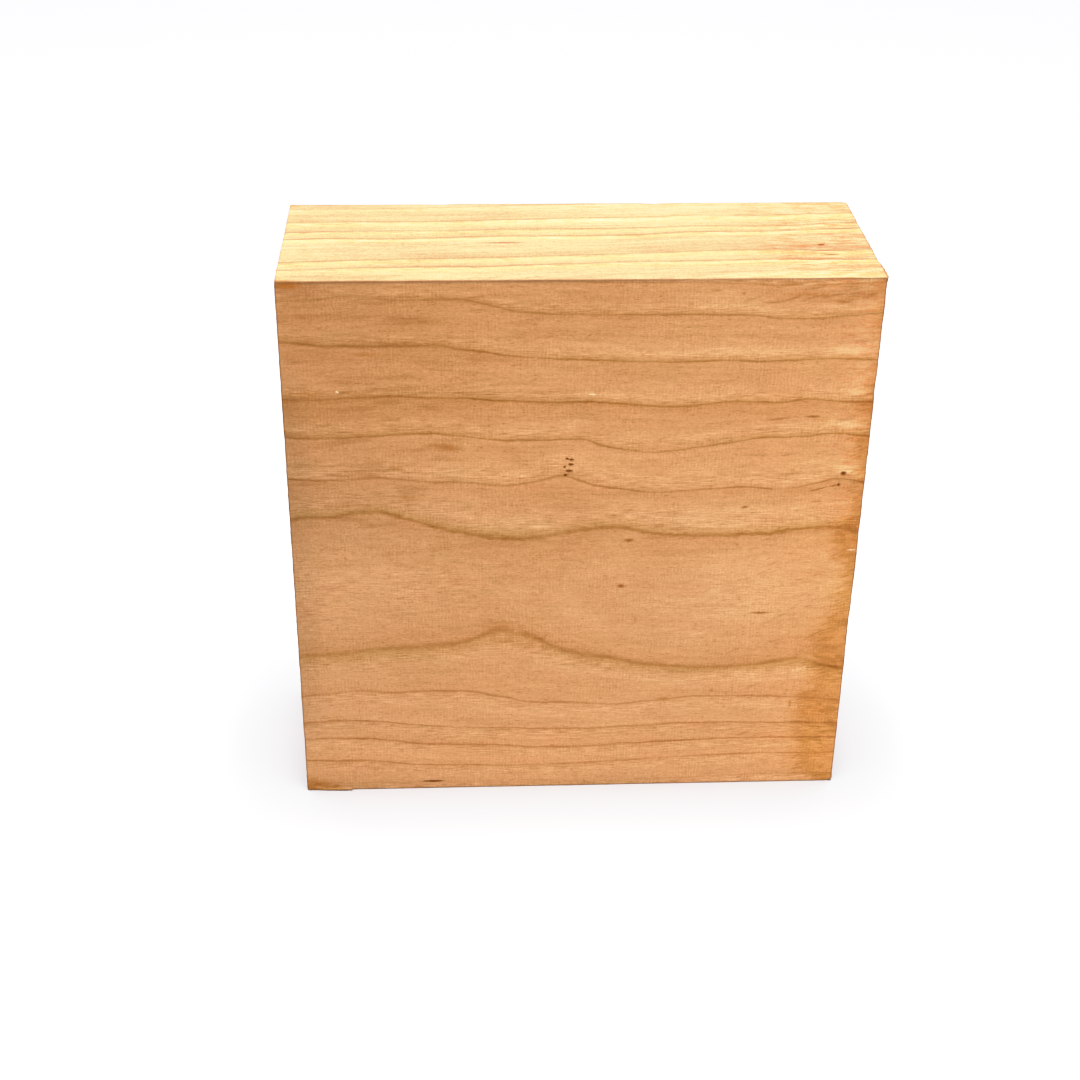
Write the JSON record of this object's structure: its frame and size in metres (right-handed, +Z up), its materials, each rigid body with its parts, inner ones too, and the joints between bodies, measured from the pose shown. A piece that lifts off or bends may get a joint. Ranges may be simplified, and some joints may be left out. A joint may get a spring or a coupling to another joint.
{
  "type": "wood bowl blank",
  "caption": "Square block of planed fruitwood with long grain across its broad faces, cut as a blank for turning a bowl on a lathe.",
  "frame": {"origin": "middle of the narrow long-grain edge that the block stands on", "axes": "+X along the grain, from one end-grain end to the other; +Y through the thickness, from the front broad face to the back one; +Z up, across the grain"},
  "size_m": [0.2032, 0.0734, 0.2094],
  "materials": {
    "wood": "matte"
  },
  "bodies": {
    "root": {"bowl_blank": "wood"}
  },
  "joints": []
}
